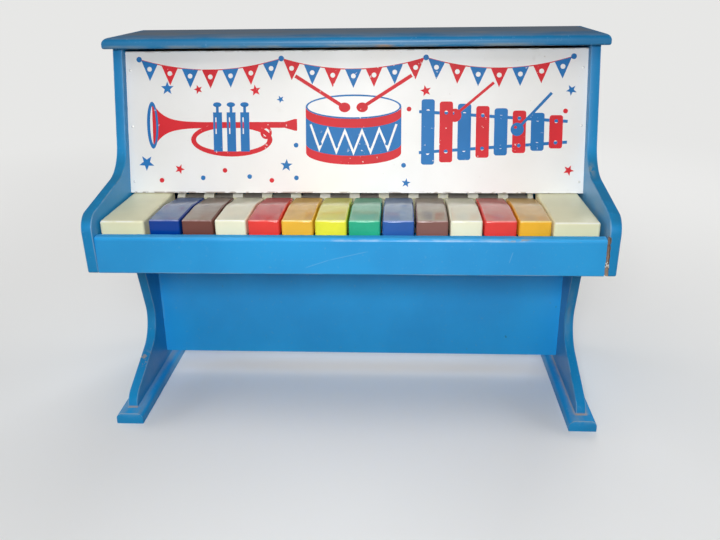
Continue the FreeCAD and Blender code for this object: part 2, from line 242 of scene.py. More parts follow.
def new_object(name, data):
    obj = bpy.data.objects.new(name, data)
    bpy.context.scene.collection.objects.link(obj)
    return obj


def piece(name, shape, slot, *looks, body="case", replaced=None, smooth=35):
    """Shows a mesh or bmesh in its slot's look or in others, in place of a CAD node where one is named."""
    mesh = as_mesh(name, shape) if isinstance(shape, bmesh.types.BMesh) else shape
    mesh.polygons.foreach_set("use_smooth", [True] * len(mesh.polygons))
    mesh.set_sharp_from_angle(angle=radians(smooth))
    kinds = [face.material_index for face in mesh.polygons]
    mesh.materials.clear()
    for look in looks or [slot]:
        mesh.materials.append(LOOKS[look])
    mesh.polygons.foreach_set("material_index", kinds)
    obj = new_object(name, mesh)
    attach(obj, body)
    if replaced:
        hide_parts(replaced)
    return obj


def carved(mesh, cutters):
    """The mesh with each cutter, a bmesh, taken away from it."""
    obj = new_object("carved", mesh)
    tools = [new_object("cutter", as_mesh("cutter", bm)) for bm in cutters]
    for tool in tools:
        modifier = obj.modifiers.new("cut", "BOOLEAN")
        modifier.operation = "DIFFERENCE"
        modifier.solver = "EXACT"
        modifier.object = tool
    graph = bpy.context.evaluated_depsgraph_get()
    result = bpy.data.meshes.new_from_object(obj.evaluated_get(graph))
    for leftover in [obj, *tools]:
        bpy.data.objects.remove(leftover)
    return result


# Procedural materials


LOOKS = {}


class Look:
    """A procedural material, kept in LOOKS: calls that add its nodes, and a coat that they colour."""

    def __init__(self, name, roughness=0.5):
        self.material = LOOKS[name] = bpy.data.materials.new(name)
        self.material.use_nodes = True
        self.nodes = self.material.node_tree.nodes
        self.links = self.material.node_tree.links
        self.surface = self.nodes["Principled BSDF"]
        self.place = self.add("TexCoord").outputs["Object"]
        self.coat = None
        self.set("Roughness", roughness)

    def put(self, socket, value):
        if isinstance(value, bpy.types.NodeSocket):
            self.links.new(value, socket)
        else:
            socket.default_value = value

    def set(self, name, value):
        """Gives one of the shader's sockets a value or a link."""
        self.put(self.surface.inputs[name], value)

    def add(self, kind, inputs=None, **settings):
        node = self.nodes.new("ShaderNode" + kind)
        for key, value in settings.items():
            setattr(node, key, value)
        for key, value in (inputs or {}).items():
            self.put(node.inputs[key], value)
        return node

    def noise(self, scale, detail=3.0, stretch=(1, 1, 1)):
        """Noise from 0 to 1; scale counts features per metre, and stretch squeezes it along an axis."""
        place = self.add("Mapping", {"Vector": self.place, "Scale": stretch}).outputs[0]
        inputs = {"Vector": place, "Scale": scale, "Detail": detail, "Roughness": 0.55}
        return self.add("TexNoise", inputs).outputs["Fac"]

    def band(self, value, low, high):
        """0 below low, 1 above high and smooth between, or the other way round where low is the higher."""
        inputs = {"Value": value, "From Min": low, "From Max": high}
        return self.add("MapRange", inputs, interpolation_type="SMOOTHSTEP").outputs["Result"]

    def patches(self, low, high, *noise_settings):
        """1 in patches where the noise is above high, down to 0 where it is below low."""
        return self.band(self.noise(*noise_settings), low, high)

    def math(self, operation, a, b=0.0):
        return self.add("Math", {0: a, 1: b}, operation=operation).outputs[0]

    def times(self, *values):
        result = values[0]
        for value in values[1:]:
            result = self.math("MULTIPLY", result, value)
        return result

    def scaled(self, value, gain, start):
        return self.math("ADD", self.times(value, gain), start)

    def mix(self, share, a, b):
        node = self.add("Mix", data_type="RGBA")
        self.put(node.inputs[0], share)
        for socket, value in ((node.inputs[6], a), (node.inputs[7], b)):
            self.put(socket, (*value, 1) if isinstance(value, tuple) else value)
        return node.outputs[2]

    def cover(self, color, *shares):
        """Lays a colour over the coat, as much as the product of the shares says."""
        self.coat = self.mix(self.times(*shares), self.coat, color)

    def axis(self, index):
        """The place along X, Y or Z, in metres."""
        return self.add("SeparateXYZ", {0: self.place}).outputs[index]

    def span(self, index, low, high):
        """0 to 1 between two places along an axis."""
        return self.band(self.axis(index), low * MM, high * MM)

    def near(self, index, middle, reach):
        """1 at a place along an axis, down to 0 at the reach."""
        away = self.math("ABSOLUTE", self.math("SUBTRACT", self.axis(index), middle * MM))
        return self.band(away, reach * MM, 0.0)

    def normal(self, index):
        normal = self.add("NewGeometry").outputs["Normal"]
        return self.add("SeparateXYZ", {0: normal}).outputs[index]

    def facing(self, index, low, high):
        """1 where the surface faces along X, Y or Z."""
        return self.band(self.normal(index), low, high)

    def edges(self, reach):
        """1 along the piece's edges, within about this reach."""
        soft = self.add("Bevel", {"Radius": reach * MM}, samples=6).outputs[0]
        normal = self.add("NewGeometry").outputs["Normal"]
        node = self.add("VectorMath", {0: soft, 1: normal}, operation="DOT_PRODUCT")
        return self.band(self.math("SUBTRACT", 1.0, node.outputs["Value"]), 0.01, 0.12)

    def segment(self, a, b, width):
        """1 on a straight scratch between two (x, z) places."""
        way = (Vector(b) - Vector(a)) * MM
        middle = (Vector(b) + Vector(a)) / 2 * MM
        turn = (0, -atan2(way.y, way.x), 0)
        inputs = {"Vector": self.place, "Location": (middle.x, 0, middle.y), "Rotation": turn}
        turned = self.add("Mapping", inputs, vector_type="TEXTURE").outputs[0]
        parts = self.add("SeparateXYZ", {0: turned}).outputs
        along, across = (self.math("ABSOLUTE", parts[axis]) for axis in (X, Z))
        ends = self.band(along, way.length / 2, way.length * 0.35)
        return self.times(ends, self.band(across, width * MM, 0.0))

    def bump(self, height, distance, strength):
        """Raises the surface by up to the distance."""
        inputs = {"Height": height, "Distance": distance * MM, "Strength": strength}
        self.set("Normal", self.add("Bump", inputs).outputs[0])

    def finish(self, roughness=None):
        self.set("Base Color", self.coat)
        if roughness is not None:
            self.set("Roughness", roughness)


# Colours are in linear light
BLUE = (0.014, 0.325, 0.7)
BLUE_DEEP = (0.01, 0.262, 0.6)
BLUE_PALE = (0.2, 0.43, 0.66)
DUST = (0.3, 0.29, 0.27)
RAW_WOOD = (0.36, 0.235, 0.13)
DIRT = (0.46, 0.38, 0.33)
KEY_DUST_AND_SHEEN = (0.48, 0.47, 0.44)


def blue_paint(name, dust=0.12, wear=0.5, layers=(), grain=(0.1, 1, 1), painted_light_scale=1.0, gloss=0.4):
    """Satin blue paint on wood: an uneven coat, scaled lighter or darker as a whole as painted light and
    shade, scuffed edges with chips, and dust on what faces up.
    """
    look = Look(name)
    # The whole coat is scaled lighter or darker here: painted light and shade, making lit and shaded copies
    # of one paint
    deep, full = (tuple(c * painted_light_scale for c in color) for color in (BLUE_DEEP, BLUE))
    look.coat = look.mix(look.patches(0.25, 0.75, 11, 4), deep, full)
    look.cover(BLUE_PALE, look.patches(0.62, 0.8, 420, 2), 0.25)
    edge = look.edges(1.1)
    scuff = look.times(edge, look.patches(0.42, 0.66, 55, 4), wear)
    look.cover(BLUE_PALE, scuff, 0.75)
    chip = look.times(edge, look.patches(0.66, 0.7, 160), look.patches(0.5, 0.62, 24, 2))
    look.cover(RAW_WOOD, chip, wear)
    settled = look.times(look.facing(Z, 0.55, 0.95), look.patches(0.2, 0.8, 30, 5), dust)
    look.cover(DUST, settled)
    for layer in layers:
        layer(look)
    look.set("Specular IOR Level", look.times(look.facing(Z, 0.75, 0.1), gloss))
    texture = look.math("ADD", look.times(look.noise(900, 2), 0.4), look.noise(240, 3, grain))
    look.bump(look.math("SUBTRACT", texture, look.times(chip, 1.5)), 0.06, 0.6)
    rough = look.scaled(look.noise(60), 0.16, 0.3)
    look.finish(look.math("ADD", rough, look.times(settled, 0.5)))


def plastic(name, color, roughness=0.1, dust=0.34, variation=0.06, top_dust_and_sheen=KEY_DUST_AND_SHEEN):
    """Moulded plastic: dust with a painted sheen and grit on top, a painted pale haze on the back slope, and
    a pale rubbed front edge that is partly a painted highlight.
    """
    look = Look(name)
    deep = tuple(c * (1 - 2 * variation) for c in color)
    look.coat = look.mix(look.patches(0.3, 0.7, 40), deep, color)
    top = look.facing(Z, 0.8, 0.98)
    level = look.facing(Z, 0.991, 0.997)
    slope = look.math("SUBTRACT", top, level)
    dull = look.math("SUBTRACT", 0.3, look.times(slope, 0.22))
    look.set("Specular IOR Level", look.math("ADD", look.times(level, 0.2), dull))
    touched = look.scaled(look.span(Y, -38, -58), 0.15, 0.9)
    # Dust and a painted sheen on top: the pale top colour stands for reflected light as well as dust
    look.cover(top_dust_and_sheen, top, touched, look.scaled(look.noise(90, 4), 0.8, 0.6), dust)
    # Painted light: a pale haze that brightens the back slope
    look.cover((0.62, 0.6, 0.52), slope, 0.16)
    # A pale rubbed front edge, partly wear and partly a painted highlight
    rubbed_and_highlit_edge = look.times(look.facing(Y, -0.3, -0.6), look.facing(Z, 0.3, 0.6))
    look.cover(tuple(min(0.9, c + 0.35) for c in color), rubbed_and_highlit_edge, look.patches(0.2, 0.6, 130), 0.7)
    grit = look.patches(0.66, 0.74, 700, 2)
    look.cover((0.35, 0.3, 0.25), grit, top, 0.18)
    look.bump(look.noise(420), 0.02, 0.5)
    look.finish(look.scaled(look.noise(150, 4, (1, 0.15, 1)), 0.12, roughness))


def wood(name, light, dark, along=(0.06, 1, 1)):
    """Bare wood with grain that runs along the squeezed axis."""
    look = Look(name)
    grain = look.noise(180, 5, along)
    look.coat = look.mix(look.band(grain, 0.3, 0.7), dark, light)
    pores = look.patches(0.6, 0.75, 900, 2, along)
    look.cover(tuple(c * 0.5 for c in dark), pores, 0.4)
    look.bump(grain, 0.08, 0.6)
    look.finish(look.scaled(grain, 0.2, 0.55))


def hardboard(name):
    """Pressed brown fibre with wide blotches."""
    look = Look(name)
    fibre = look.noise(500, 4)
    look.coat = look.mix(look.patches(0.3, 0.7, 18, 4), (0.2, 0.115, 0.06), (0.27, 0.165, 0.09))
    look.cover((0.12, 0.07, 0.04), look.band(fibre, 0.5, 0.75), 0.5)
    look.bump(fibre, 0.08, 0.7)
    look.finish(look.scaled(fibre, 0.25, 0.5))


def white_panel(name):
    """White paint on hardboard: faint smudges and specks, and brown flecks where the edges have frayed."""
    look = Look(name)
    look.coat = look.mix(look.patches(0.3, 0.75, 14, 4), (0.8, 0.795, 0.775), (0.84, 0.84, 0.835))
    smudge = look.times(look.patches(0.6, 0.75, 60, 5), look.patches(0.5, 0.7, 9, 2), 0.25)
    look.cover((0.52, 0.49, 0.44), smudge)
    speck = look.patches(0.74, 0.78, 520, 2)
    look.cover((0.4, 0.33, 0.25), speck, 0.35)
    low = look.span(Z, PANEL_BOTTOM + 1.5, PANEL_BOTTOM)
    high = look.span(Z, PANEL_TOP - 1.6, PANEL_TOP)
    rim = look.math("MAXIMUM", low, look.times(high, 0.4))
    fray = look.times(rim, look.patches(0.5, 0.58, 260, 4, (0.5, 1, 1)))
    look.cover((0.2, 0.12, 0.07), fray, 0.8)
    look.bump(look.math("SUBTRACT", look.noise(350), fray), 0.05, 0.5)
    look.finish(look.scaled(look.noise(50), 0.15, 0.36))


def ink(name, color):
    """Screen-printed ink with small gaps where it didn't take."""
    look = Look(name)
    look.set("Specular IOR Level", 0.2)
    look.coat = look.mix(look.patches(0.3, 0.7, 25), tuple(c * 0.88 for c in color), color)
    gaps = look.times(look.patches(0.66, 0.7, 330), look.patches(0.48, 0.6, 40, 2))
    look.cover((0.82, 0.82, 0.81), gaps, 0.9)
    look.bump(look.noise(300, 2), 0.03, 0.4)
    look.finish()


def steel(name, roughness=0.32):
    """Brushed steel with a few brown spots."""
    look = Look(name)
    look.set("Metallic", 1.0)
    brushed = look.noise(1200, 3, (1, 0.02, 1))
    look.coat = (0.62, 0.61, 0.59)
    look.cover((0.36, 0.3, 0.25), look.patches(0.62, 0.75, 120, 4), 0.5)
    look.bump(brushed, 0.01, 0.4)
    look.finish(look.scaled(brushed, 0.2, roughness))


def felt(name):
    """Dark red felt."""
    look = Look(name, roughness=0.95)
    look.set("Sheen Weight", 0.4)
    fuzz = look.noise(1600, 4)
    look.coat = look.mix(fuzz, (0.22, 0.02, 0.02), (0.44, 0.06, 0.05))
    look.bump(fuzz, 0.3, 0.8)
    look.finish()


def rgb(r, g, b):
    """A colour as a screen shows it, 0 to 255, in linear light."""
    return tuple(c / 255 / 12.92 if c <= 10 else ((c / 255 + 0.055) / 1.055) ** 2.4 for c in (r, g, b))


# Wear, dust, dirt, and painted light and shade that the photograph shows in particular places. Colours come
# first,
# then places of single marks: the middle and the reach along an axis, or the (x, z) ends of a scratch.
LID_DUST = (0.155, 0.175, 0.2)
LID_RUBBED = (0.27, 0.25, 0.22)
LID_EDGE_GREY = (0.27, 0.3, 0.27)
KEYSLIP_TOP_PAINTED_LIGHT = (0.13, 0.52, 0.92)
KEYSLIP_TOP_WEAR_AND_HIGHLIGHT = (0.52, 0.68, 0.8)
KEYSLIP_LOW_LINE = (0.46, 0.62, 0.74)
KEYSLIP_BARE = (0.36, 0.33, 0.27)
SCRATCH = (0.42, 0.64, 0.83)
INSIDE_DUST = (0.32, 0.46, 0.58)
ARM_DUST = (0.33, 0.36, 0.37)
KNOCKED_WOOD = (0.42, 0.34, 0.25)
LEG_RUBBED = (0.3, 0.38, 0.4)
EDGE_PALE = (0.36, 0.52, 0.64)
UPPER_PAINTED_SHADE = (0.01, 0.17, 0.42)
ARM_PAINTED_SHADE = (0.03, 0.13, 0.22)
SWEEP_TAN = (0.34, 0.34, 0.24)
FOOT_STREAK = (0.3, 0.35, 0.38)
FOOT_DUST = (0.24, 0.36, 0.48)
FOOT_END_PALE = (0.48, 0.53, 0.52)
BOARD_LINE = (0.14, 0.42, 0.72)
BOARD_SPECK = (0.02, 0.07, 0.12)
LID_CHIP_X = (25, 11)
KEYSLIP_BARE_X = (121, 15)
ARM_DUST_Z = (174, 22)
KNOCKED_Y = (-19, 13)
KNOCKED_Z = (36, 7)
LEG_RUBBED_X = (INNER_X + 2.5, 3.5)
LEG_RUBBED_Z = (68, 38)
SWEEP_TAN_X = (INNER_X + 2, 4)
SWEEP_TAN_Z = (204.5, 6)
FOOT_END_Y = (FRONT_Y + 29.4, 0.8)
SCRATCHES = (((-31, 150.6), (-12, 157.2)), ((-14, 156.6), (16, 163.8)), ((114.5, 155), (117, 164)))


def lid_dust(look):
    """Grey dust on the lid, thinner towards the front, where it is handled, with browner rubbed patches."""
    inside_ends = look.band(look.math("ABSOLUTE", look.axis(X)), 192 * MM, 185 * MM)
    top = look.times(look.facing(Z, 0.7, 0.98), inside_ends)
    streak = look.scaled(look.patches(0.15, 0.8, 22, 5, (0.25, 1, 1)), 0.3, 0.65)
    handled = look.scaled(look.span(Y, 4, 48), 0.75, 0.25)
    look.cover(LID_DUST, top, streak, handled)
    look.cover(LID_RUBBED, top, look.patches(0.6, 0.72, 45, 5, (0.4, 1, 1)), 0.4)


def lid_edge_wear(look):
    """Grey wear along the lid's lower edge, and one chip down to the wood."""
    worn = look.patches(0.4, 0.62, 70, 4, (0.3, 1, 1))
    look.cover(LID_EDGE_GREY, look.near(Z, SIDE_TOP + 0.9, 2.6), worn, 0.7)
    chip = look.patches(0.36, 0.44, 210)
    look.cover(RAW_WOOD, look.near(X, *LID_CHIP_X), look.near(Z, SIDE_TOP + 0.7, 2.2), chip)


def keyslip_wear_and_painted_light(look):
    """A top painted paler as painted light, broken pale lines along both front edges, the upper line partly a
    painted highlight, and a bare patch on the upper edge.
    """
    # Painted light: the top is made paler
    pale = look.patches(0.1, 0.6, 30, 4, (0.3, 1, 1))
    look.cover(KEYSLIP_TOP_PAINTED_LIGHT, look.facing(Z, 0.3, 0.8), pale, 0.4)
    # Wear and a painted highlight: a broken pale line along the upper front edge, stronger to the right
    broken = look.times(look.patches(0.45, 0.7, 80, 5, (0.35, 1, 1)), look.span(X, -120, 40))
    look.cover(KEYSLIP_TOP_WEAR_AND_HIGHLIGHT, look.near(Z, KEYSLIP_TOP - 1.5, 1.4), broken, 0.7)
    broken = look.patches(0.4, 0.62, 60, 5, (0.3, 1, 1))
    look.cover(KEYSLIP_LOW_LINE, look.near(Z, ARM_UNDER + 0.3, 0.9), broken, 0.55)
    spots = look.patches(0.5, 0.56, 150, 3, (0.5, 1, 1))
    bare = look.times(look.near(Z, KEYSLIP_TOP - 1, 1.7), look.near(X, *KEYSLIP_BARE_X))
    look.cover(KEYSLIP_BARE, bare, spots, 0.8)


def keyslip_scratches(look):
    for a, b in SCRATCHES:
        look.cover(SCRATCH, look.segment(a, b, 0.4), 0.28)


def foot_dirt(look):
    """A line of dirt across the front of each leg, above its foot rail."""
    line = look.times(look.near(Z, FOOT_HEIGHT + 0.2, 1.7), look.facing(Y, -0.2, -0.6))
    look.cover(DIRT, line, look.patches(0.2, 0.5, 90, 4), 0.85)


def leg_wear(look):
    """Dust inside the right board, paint knocked off the left leg, and a rubbed edge on the right leg."""
    inside = look.times(look.facing(X, -0.6, -0.95), look.span(X, 0, 1))
    look.cover(INSIDE_DUST, inside, look.patches(0.2, 0.65, 26, 4, (1, 0.4, 1)), 0.25)
    look.cover(ARM_DUST, inside, look.near(Z, *ARM_DUST_Z), look.patches(0.3, 0.7, 60, 4), 0.4)
    knocked = look.times(look.span(X, 0, -1), look.near(Z, *KNOCKED_Z), look.near(Y, *KNOCKED_Y))
    look.cover(KNOCKED_WOOD, knocked, look.patches(0.53, 0.57, 230))
    rubbed = look.times(look.near(X, *LEG_RUBBED_X), look.near(Z, *LEG_RUBBED_Z), look.facing(Y, -0.4, -0.9))
    look.cover(LEG_RUBBED, rubbed, look.patches(0.25, 0.6, 70, 4, (1, 1, 0.4)), 0.5)


def worn_edges_and_painted_shade(look):
    """Broken pale lines on rounded edges, painted shade on the upper case and on the arms' up-facing slopes,
    and tan dirt in the right sweep.
    """
    aside = look.math("ABSOLUTE", look.normal(X))
    line = look.times(look.band(aside, 0.3, 0.6), look.band(aside, 0.98, 0.9))
    broken = look.scaled(look.patches(0.4, 0.6, 70, 4, (1, 1, 0.3)), 0.7, 0.15)
    look.cover(EDGE_PALE, line, broken, 0.6)
    # Painted shade: the case darker from 195 mm upwards
    look.cover(UPPER_PAINTED_SHADE, look.span(Z, 195, 250), 0.4)
    # Painted shade on the arms' up-facing slopes and sweeps
    shaded_arm_top = look.times(look.facing(Z, 0.3, 0.75), look.span(Z, 140, 170))
    look.cover(ARM_PAINTED_SHADE, shaded_arm_top, look.patches(0.1, 0.6, 50, 4), 0.5)
    sweep = look.times(look.near(X, *SWEEP_TAN_X), look.near(Z, *SWEEP_TAN_Z), look.facing(Y, 0.0, -0.4))
    look.cover(SWEEP_TAN, sweep, look.patches(0.42, 0.56, 260), 0.5)


def foot_streaks(look):
    """Rubbed streaks along the top, dust and dirt round the foot of the leg, and a pale front end."""
    top = look.facing(Z, 0.5, 0.95)
    look.cover(FOOT_STREAK, top, look.patches(0.48, 0.7, 60, 5, (1, 0.2, 1)), 0.45)
    beside = look.math("SUBTRACT", look.math("ABSOLUTE", look.axis(X)), (SIDE_X + INNER_X) / 2 * MM)
    beside = look.math("MAXIMUM", look.math("SUBTRACT", look.math("ABSOLUTE", beside), BOARD / 2 * MM), 0.0)
    before = look.math("MAXIMUM", look.math("SUBTRACT", (FRONT_Y + TOE_SET) * MM, look.axis(Y)), 0.0)
    ragged = look.times(look.math("SUBTRACT", look.noise(130, 4), 0.5), 2.4 * MM)

    def within(distance, outer, inner):
        return look.band(look.math("ADD", distance, ragged), outer * MM, inner * MM)

    look.cover(FOOT_DUST, within(beside, 4.6, 1.0), look.band(before, 0.5 * MM, 0.0), top, 0.5)
    away = look.math("SQRT", look.math("ADD", look.times(beside, beside), look.times(before, before)))
    look.cover(DIRT, within(away, 2.2, 0.6), look.span(X, 0, 1), top, 0.6)
    toe = look.times(look.band(before, 0.0, 0.1 * MM), look.band(beside, 0.5 * MM, 0.0))
    look.cover(DIRT, within(before, 1.9, 0.9), toe, top, 0.85)
    end = look.times(look.near(Y, *FOOT_END_Y), look.span(Z, 1, 2), look.facing(Z, 0.1, 0.4))
    look.cover(FOOT_END_PALE, end, look.patches(0.35, 0.5, 150), 0.7)


def board_marks(look):
    """A pale line down the left end of the lower panel, and a few dark specks."""
    line = look.times(look.near(X, -INNER_X + 1, 1.4), look.patches(0.35, 0.6, 45, 4, (1, 1, 0.4)))
    look.cover(BOARD_LINE, line, 0.5)
    look.cover(BOARD_SPECK, look.patches(0.72, 0.76, 210, 2), look.patches(0.5, 0.6, 17, 2), 0.5)


# The looks, named as the record's material slots where they stand for one

# The blue paint's copies are one paint scaled as painted light and shade: the lid's darkest, the keyslip's
# and the boards' under the keys lightest
blue_paint("blue_paint", dust=0.06, layers=(leg_wear, worn_edges_and_painted_shade, foot_dirt), grain=(1, 0.3, 0.15),
           painted_light_scale=0.87, gloss=0.35)
blue_paint("blue_paint_lid_painted_shade", dust=0.5, layers=(lid_dust, lid_edge_wear), painted_light_scale=0.6, gloss=0.45)
blue_paint("blue_paint_keyslip_painted_light", wear=0.6, layers=(keyslip_wear_and_painted_light, keyslip_scratches),
           painted_light_scale=1.12, gloss=0.6)
blue_paint("blue_paint_foot", wear=0.3, layers=(foot_streaks,), grain=(1, 0.1, 1))
blue_paint("blue_paint_board_painted_light", wear=0.3, layers=(board_marks,), painted_light_scale=1.36, gloss=0.6)
white_panel("white_paint")
hardboard("hardboard")
wood("bare_wood", (0.5, 0.33, 0.18), (0.34, 0.2, 0.1))
plastic("cream_plastic", rgb(234, 231, 192), roughness=0.32, dust=0.06, variation=0.03)
plastic("grey_plastic", rgb(215, 208, 198), roughness=0.35, dust=0.1)
plastic("hammer_plastic", (0.025, 0.024, 0.023), roughness=0.35, dust=0.05)
steel("steel")
steel("nail_steel", 0.5)
felt("felt")
wood("torn_wood", (0.44, 0.31, 0.23), (0.2, 0.125, 0.085), (1, 1, 0.08))
wood("filler", (0.78, 0.76, 0.71), (0.55, 0.52, 0.46), (1, 1, 1))
ink("ink_blue", rgb(36, 118, 186))
ink("ink_red", rgb(216, 40, 50))
plastic("key_blue", rgb(0, 62, 150), dust=0.3, top_dust_and_sheen=(0.42, 0.54, 0.5))
plastic("key_blue_paler_and_lit", rgb(48, 98, 174), dust=0.46, top_dust_and_sheen=(0.42, 0.53, 0.52))
plastic("key_brown", rgb(118, 70, 61), dust=0.42, top_dust_and_sheen=(0.48, 0.5, 0.4))
plastic("key_brown_paler_and_lit", rgb(137, 94, 86), dust=0.55, top_dust_and_sheen=(0.52, 0.53, 0.4))
plastic("key_cream", rgb(243, 241, 211), variation=0.03, top_dust_and_sheen=(0.62, 0.6, 0.5))
plastic("key_red", rgb(239, 65, 58), dust=0.4, top_dust_and_sheen=(0.2, 0.13, 0.14))
plastic("key_red_paler_and_lit", rgb(239, 67, 61), dust=0.55, top_dust_and_sheen=(0.5, 0.38, 0.32))
plastic("key_orange", rgb(252, 193, 62), top_dust_and_sheen=(0.37, 0.29, 0.16))
plastic("key_orange_paler_and_lit", rgb(247, 185, 50), dust=0.5, top_dust_and_sheen=(0.52, 0.46, 0.34))
plastic("key_yellow", rgb(243, 240, 64), top_dust_and_sheen=(0.62, 0.6, 0.46))
plastic("key_green", rgb(46, 180, 138), dust=0.5, top_dust_and_sheen=(0.36, 0.6, 0.44))

# A CAD node takes the look of its material slot, apart from three of the blue boards, whose copies of the
# blue paint are painted darker (lid) and lighter (keybed, lower panel) as painted shade and light
NODE_LOOKS = {"lid": "blue_paint_lid_painted_shade", "keybed": "blue_paint_board_painted_light", "lower_panel": "blue_paint_board_painted_light"}
for subpart in frame["record"]["subparts"]:
    node = subpart["node"]
    for material_slot in frame["nodes"][node].material_slots:
        material_slot.material = LOOKS[NODE_LOOKS.get(node, subpart["material_slot"])]


# Side boards with their front outline rounded over


def edge_y(z):
    """Where the leaning upper edge is at a height."""
    return BACK_Y - UPPER_DEPTH - (SIDE_TOP - z) * tan(LEAN)


def meet(p, p_angle, q, q_angle):
    """Where the line through p at p_angle crosses the line through q at q_angle."""
    py, pz = cos(radians(p_angle)), sin(radians(p_angle))
    qy, qz = cos(radians(q_angle)), sin(radians(q_angle))
    along = ((q[0] - p[0]) * qz - (q[1] - p[1]) * qy) / (py * qz - pz * qy)
    return (p[0] + along * py, p[1] + along * pz)


def side_corners():
    """The corners of a side board's outline, from the top down the front and up the back."""
    sweep_z = ARM_UNDER + ARM_HEIGHT
    sweep = (edge_y(sweep_z), sweep_z)
    slant, slope = radians(ARM_FRONT_SLANT), radians(ARM_SLOPE)
    nose_y = FRONT_Y + NOSE_ROUND
    nose_z = sweep_z - (sweep[0] - nose_y) * tan(slope) - NOSE_ROUND / cos(slope)
    front = (nose_y - NOSE_ROUND * cos(slant), nose_z - NOSE_ROUND * sin(slant))
    nose = meet(sweep, ARM_SLOPE, front, 90 + ARM_FRONT_SLANT)
    arm_end = meet(front, 90 + ARM_FRONT_SLANT, (FRONT_Y, ARM_UNDER), 0)
    leg_top = (FRONT_Y + LEG_SET, ARM_UNDER)
    toe = (FRONT_Y + TOE_SET, FOOT_HEIGHT + TOE_RISE)
    waist = meet(leg_top, 90 + LEG_LEAN, toe, TOE_SLOPE)
    return [
        (BACK_Y - UPPER_DEPTH, SIDE_TOP, 0),
        (*sweep, SWEEP_ROUND),
        (*nose, NOSE_ROUND),
        (*arm_end, ARM_CORNER_ROUND),
        (*leg_top, LEG_TOP_ROUND),
        (*waist, WAIST_ROUND),
        (*toe, TOE_ROUND),
        (toe[0], FOOT_HEIGHT, 0),
        (SIDE_BACK_Y, FOOT_HEIGHT, 0),
        (SIDE_BACK_Y, SIDE_TOP, 0),
    ]


def torn_corner():
    """What has broken away from the right arm beside the keyslip: wider at the bottom, with ragged sides."""
    bm = bmesh.new()
    rings = []
    bottom = ARM_UNDER - OVERCUT
    inner, front = INNER_X - OVERCUT, FRONT_Y - 2 * OVERCUT
    back = FRONT_Y + KEYSLIP_SET + TEAR_DEPTH
    low_width, top_width = TEAR_WIDTHS
    for k in range(TEAR_STEPS + 1):
        share = k / TEAR_STEPS
        z = bottom + (TEAR_TOP - bottom) * share
        ragged = noise.noise((0, 0, z * 0.35)) + 0.6 * noise.noise((5, 0, z * 1.3))
        rough = noise.noise((9, 0, z * 0.8))
        far = INNER_X + low_width + (top_width - low_width) * share + TEAR_RAGGED * ragged
        spots = [(inner, front), (far, front)]
        spots += [(far - 0.3, back - 1 + 0.5 * rough), (inner, back + 0.6 * ragged)]
        rings.append([bm.verts.new((x * MM, y * MM, z * MM)) for x, y in spots])
    close_rings(bm, rings)
    for face in bm.faces:
        face.material_index = 1
    return bm


def side_board(name, x0, x1, tear=None):
    bm = prism(rounded_outline(side_corners()), x0, x1)
    square = ((Z, SIDE_TOP), (Z, FOOT_HEIGHT), (Y, SIDE_BACK_Y))
    front = [
        e for e in bm.edges
        if (lies_at(e, X, x0) or lies_at(e, X, x1)) and not any(lies_at(e, *place) for place in square)
    ]
    round_edges(bm, front, BOARD_EDGE_ROUND)
    mesh = as_mesh(name, bm)
    looks = ["blue_paint"]
    if tear:
        looks.append("torn_wood")
        for look in looks:
            mesh.materials.append(LOOKS[look])
        mesh = carved(mesh, [tear])
    piece(name + "_rounded", mesh, "blue_paint", *looks, replaced=name)


side_board("left_side_board", -SIDE_X, -INNER_X)
side_board("right_side_board", INNER_X, SIDE_X, torn_corner())


# Key caps, the end blocks beside them, and the tops of the comb behind them


def cap_mesh():
    """A cap at x = 0: flat top that slopes down to the back, rounded edges, hollow below."""
    half = CAP_WIDTH / 2
    corners = [
        (CAP_FRONT_Y, CAP_BOTTOM, 0),
        (CAP_FRONT_Y, CAP_TOP, 0),
        (CAP_BACK_Y - CAP_SLOPE_LENGTH, CAP_TOP, CAP_RIDGE_ROUND),
        (CAP_BACK_Y, CAP_TOP - CAP_SLOPE_DROP, 0),
        (CAP_BACK_Y, CAP_BOTTOM, 0),
    ]
    bm = prism(rounded_outline(corners, 1.5), -half, half)
    back_corners = [
        e for e in bm.edges
        if lies_at(e, Y, CAP_BACK_Y) and (lies_at(e, X, -half) or lies_at(e, X, half))
    ]
    round_edges(bm, back_corners, CAP_BACK_CORNER_ROUND, 5)
    rim = [e for e in sharp_edges(bm) if not lies_at(e, Z, CAP_BOTTOM)]
    round_edges(bm, rim, CAP_EDGE_ROUND)
    inside = box(
        (-half + CAP_WALL, CAP_FRONT_Y + CAP_WALL, CAP_BOTTOM - OVERCUT),
        (half - CAP_WALL, CAP_BACK_Y - CAP_WALL, CAP_TOP - CAP_SLOPE_DROP - CAP_WALL),
    )
    notch = box(
        (-NOTCH_WIDTH / 2, CAP_BACK_Y - CAP_WALL - OVERCUT, CAP_BOTTOM - OVERCUT),
        (NOTCH_WIDTH / 2, CAP_BACK_Y + OVERCUT, NOTCH_TOP),
    )
    return carved(as_mesh("key_cap", bm), [inside, notch])


def key_caps():
    """Twelve caps, paler and dustier in the second octave where the photograph shows it, the blue and brown
    fronts partly a painted highlight.
    """
    shape = cap_mesh()
    for number, x, color in KEYS:
        mesh = shape.copy()
        mesh.transform(Matrix.Translation((x * MM, 0, 0)))
        slot = look = "key_" + color
        # The second octave's looks are dustier with more painted sheen, and the blue and brown fronts are
        # painted lighter, partly as a highlight
        if int(number) > len(NOTE_COLORS) and look + "_paler_and_lit" in LOOKS:
            look += "_paler_and_lit"
        piece("key_top_" + number, mesh, slot, look, body="key_" + number, replaced="key_cap_" + number)


